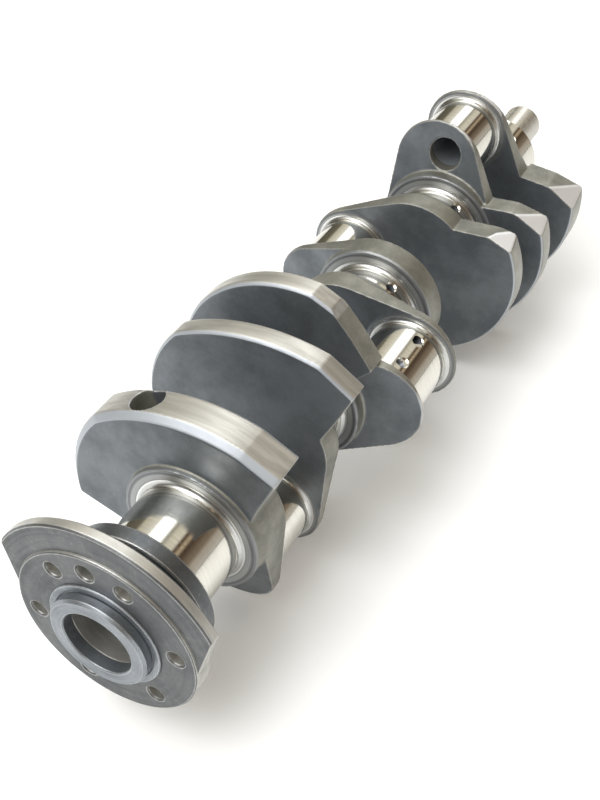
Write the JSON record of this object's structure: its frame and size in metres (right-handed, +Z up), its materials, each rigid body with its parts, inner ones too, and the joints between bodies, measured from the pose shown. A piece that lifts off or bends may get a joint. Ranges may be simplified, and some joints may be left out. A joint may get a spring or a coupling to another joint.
{
  "type": "crankshaft",
  "caption": "Forged crankshaft for a V engine with throws at right angles, counterweighted webs, a rear flange with a pilot bore and a keyed snout.",
  "frame": {"origin": "on the crank axis, in the rear face of the flange, at the centre of the bolt circle", "axes": "+X along the crank axis from the flange to the nose, +Z up, as the crank lies; the throw of crankpin 1 points up, leaning 9.5 degrees towards +Y"},
  "size_m": [0.6282, 0.1728, 0.1745],
  "materials": {
    "turned_flange": "fine turned steel, satin, light protective oil",
    "turned_rear": "turned steel, darker from heat treatment, satin",
    "ground_main": "ground and polished journal, near mirror",
    "ground_pin": "ground and polished journal, near mirror",
    "forged_web": "shot-peened forging with machined faces, satin blue-grey",
    "forged_counterweight": "machined faces blue-grey, turned rim pale satin",
    "turned_nose": "fine turned steel, satin"
  },
  "bodies": {
    "root": {"pilot_hub": "turned_flange", "rear_flange": "turned_flange", "flange_counterweight": "turned_flange", "rear_seal_land": "turned_rear", "oil_slinger": "turned_rear", "main_journal_1": "ground_main", "main_journal_2": "ground_main", "main_journal_3": "ground_main", "main_journal_4": "ground_main", "main_journal_5": "ground_main", "crankpin_1": "ground_pin", "crankpin_2": "ground_pin", "crankpin_3": "ground_pin", "crankpin_4": "ground_pin", "web_1": "forged_web", "web_2": "forged_web", "web_3": "forged_web", "web_4": "forged_web", "web_5": "forged_web", "web_6": "forged_web", "web_7": "forged_web", "web_8": "forged_web", "counterweight_1": "forged_counterweight", "counterweight_2": "forged_counterweight", "counterweight_3": "forged_counterweight", "counterweight_6": "forged_counterweight", "counterweight_7": "forged_counterweight", "counterweight_8": "forged_counterweight", "timing_gear_seat": "turned_nose", "damper_snout": "turned_nose"}
  },
  "joints": []
}
